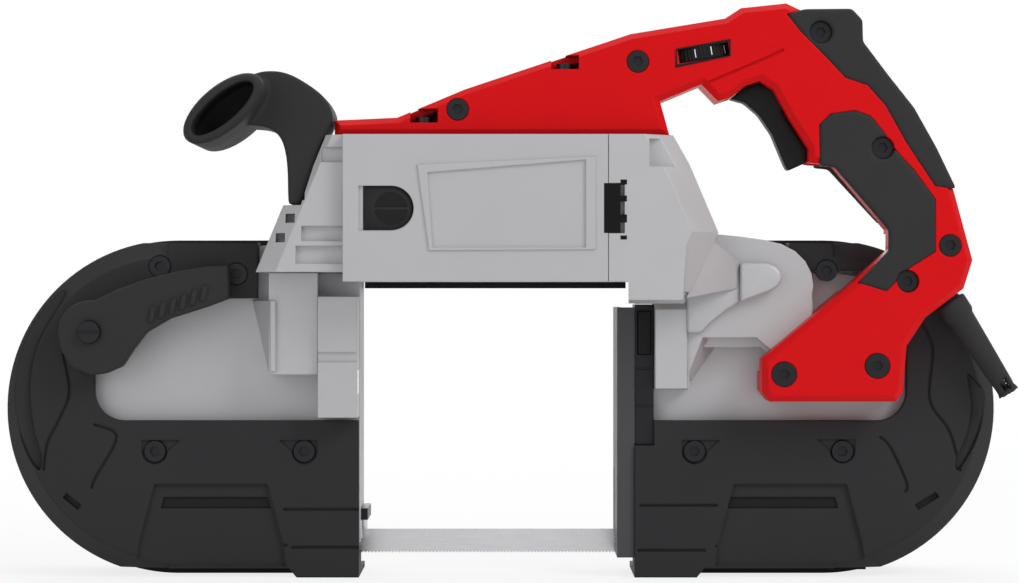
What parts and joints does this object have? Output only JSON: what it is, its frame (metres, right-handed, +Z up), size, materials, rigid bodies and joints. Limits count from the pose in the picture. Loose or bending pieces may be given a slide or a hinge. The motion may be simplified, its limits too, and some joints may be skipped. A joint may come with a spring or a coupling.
{
  "type": "portable band saw",
  "caption": "Hand-held corded band saw with two wheel cases joined by a motor beam over an open cutting throat, a hooked front handle and a closed rear grip.",
  "frame": {"origin": "centre of the bounding box in plan, at the level of the bumper feet", "axes": "+X along the saw from the idler end to the grip end, +Y from the motor side to the blade side, +Z up"},
  "size_m": [0.5202, 0.116, 0.2935],
  "materials": {
    "cast_grey": "satin die cast",
    "housing_grey": "fine texture",
    "red_plastic": "satin",
    "dark_rubber": "matt, moulded",
    "bumper_grey": "matt, moulded",
    "black_plastic": "satin",
    "steel": "machined",
    "dark_steel": "black oxide",
    "aluminium": "machined",
    "copper": "turned",
    "brass": "satin",
    "carbon": "matt",
    "shoe_steel": "satin",
    "lens": "clear"
  },
  "bodies": {
    "frame": {"frame_casting": "cast_grey", "motor_housing": "housing_grey", "motor_end_cap": "housing_grey", "gear_case": "cast_grey", "lamp_housing": "housing_grey", "lamp_lens": "lens", "front_bumper": "bumper_grey", "rear_bumper": "bumper_grey", "bumper_screws": "dark_steel", "front_handle": "dark_rubber", "handle_near_shell": "red_plastic", "handle_far_shell": "red_plastic", "grip_near": "dark_rubber", "grip_far": "dark_rubber", "handle_screws": "dark_steel", "handle_mount_screws": "dark_steel", "switch_module": "black_plastic", "trigger_spring": "steel", "cord_sleeve": "dark_rubber", "stator_core": "dark_steel", "brush_holders": "brass", "carbon_brushes": "carbon", "brush_caps": "black_plastic", "motor_bearings": "steel", "counter_bearings": "steel", "drive_bearings": "steel", "saw_blade": "steel", "front_guide_bracket": "dark_steel", "rear_guide_bracket": "dark_steel", "shoe_bracket": "dark_steel", "blade_channel": "black_plastic", "tension_spring": "steel"},
    "armature": {"armature_core": "dark_steel", "armature_shaft": "steel", "commutator": "copper", "cooling_fan": "black_plastic", "worm": "steel"},
    "counter_gears": {"countershaft": "steel", "worm_wheel": "brass", "counter_pinion": "steel"},
    "idler_gear": {"idler_gear": "steel"},
    "drive_wheel": {"drive_wheel": "aluminium", "drive_tyre": "dark_rubber", "drive_shaft": "steel", "drive_gear": "steel"},
    "tension_lever": {"tension_lever": "dark_rubber", "tension_shaft": "dark_steel"},
    "tension_carriage": {"tension_carriage": "dark_steel", "idler_axle": "steel"},
    "idler_wheel": {"idler_wheel": "aluminium", "idler_tyre": "dark_rubber", "idler_bearing": "steel"},
    "front_roller_near": {"front_roller_near": "steel"},
    "front_roller_far": {"front_roller_far": "steel"},
    "rear_roller_near": {"rear_roller_near": "steel"},
    "rear_roller_far": {"rear_roller_far": "steel"},
    "trigger": {"trigger": "black_plastic"},
    "speed_dial": {"speed_dial": "black_plastic"},
    "work_shoe": {"work_shoe": "shoe_steel"},
    "shoe_button": {"shoe_button": "black_plastic"}
  },
  "joints": [
    {"name": "armature_spin", "type": "hinge", "parent": "frame", "child": "armature", "pos_m": [0, -0.008, 0.189], "axis": [1, 0, 0], "continuous": true},
    {"name": "counter_spin", "type": "hinge", "parent": "frame", "child": "counter_gears", "pos_m": [0.08, -0.008, 0.165], "axis": [0, 1, 0], "continuous": true},
    {"name": "idler_gear_spin", "type": "hinge", "parent": "frame", "child": "idler_gear", "pos_m": [0.10257, 0.0265, 0.13506], "axis": [0, 1, 0], "continuous": true},
    {"name": "drive_spin", "type": "hinge", "parent": "frame", "child": "drive_wheel", "pos_m": [0.1645, 0.042, 0.09547], "axis": [0, 1, 0], "continuous": true},
    {"name": "lever_turn", "type": "hinge", "parent": "frame", "child": "tension_lever", "pos_m": [-0.2137, -0.008, 0.1266], "axis": [0, -1, 0], "range_deg": [0, 170]},
    {"name": "tension_slide", "type": "slide", "parent": "frame", "child": "tension_carriage", "axis": [1, 0, 0], "range_m": [0, 0.012], "deforming": ["tension_spring"]},
    {"name": "idler_spin", "type": "hinge", "parent": "tension_carriage", "child": "idler_wheel", "pos_m": [-0.1725, 0.042, 0.09547], "axis": [0, 1, 0], "continuous": true},
    {"name": "front_near_roller_spin", "type": "hinge", "parent": "frame", "child": "front_roller_near", "pos_m": [-0.081, 0.03565, 0.02265], "axis": [0, 0, 1], "continuous": true},
    {"name": "front_far_roller_spin", "type": "hinge", "parent": "frame", "child": "front_roller_far", "pos_m": [-0.081, 0.04835, 0.02265], "axis": [0, 0, 1], "continuous": true},
    {"name": "rear_near_roller_spin", "type": "hinge", "parent": "frame", "child": "rear_roller_near", "pos_m": [0.071, 0.03565, 0.02265], "axis": [0, 0, 1], "continuous": true},
    {"name": "rear_far_roller_spin", "type": "hinge", "parent": "frame", "child": "rear_roller_far", "pos_m": [0.071, 0.04835, 0.02265], "axis": [0, 0, 1], "continuous": true},
    {"name": "trigger_pull", "type": "slide", "parent": "frame", "child": "trigger", "axis": [0.8682, 0, 0.4961], "range_m": [0, 0.006], "stiffness_N_per_m": 1200, "springref_m": -0.004, "deforming": ["trigger_spring"]},
    {"name": "dial_turn", "type": "hinge", "parent": "frame", "child": "speed_dial", "pos_m": [0.099, -0.0106, 0.2686], "axis": [-0.165, 0, 0.9863], "range_deg": [-135, 135]},
    {"name": "shoe_slide", "type": "slide", "parent": "frame", "child": "work_shoe", "axis": [0, 0, 1], "range_m": [0, 0.009]},
    {"name": "button_press", "type": "slide", "parent": "frame", "child": "shoe_button", "axis": [0, 1, 0], "range_m": [0, 0.003], "stiffness_N_per_m": 800, "springref_m": -0.002}
  ],
  "couplings": [
    {"joint": "counter_spin", "follows": "armature_spin", "ratio": -0.05},
    {"joint": "idler_gear_spin", "follows": "armature_spin", "ratio": 0.023529},
    {"joint": "drive_spin", "follows": "armature_spin", "ratio": -0.0125},
    {"joint": "idler_spin", "follows": "armature_spin", "ratio": -0.0125},
    {"joint": "tension_slide", "follows": "lever_turn", "m_per_rad": 0.0040444},
    {"joint": "front_near_roller_spin", "follows": "armature_spin", "ratio": -0.15451},
    {"joint": "front_far_roller_spin", "follows": "armature_spin", "ratio": 0.15451},
    {"joint": "rear_near_roller_spin", "follows": "armature_spin", "ratio": -0.15451},
    {"joint": "rear_far_roller_spin", "follows": "armature_spin", "ratio": 0.15451}
  ]
}
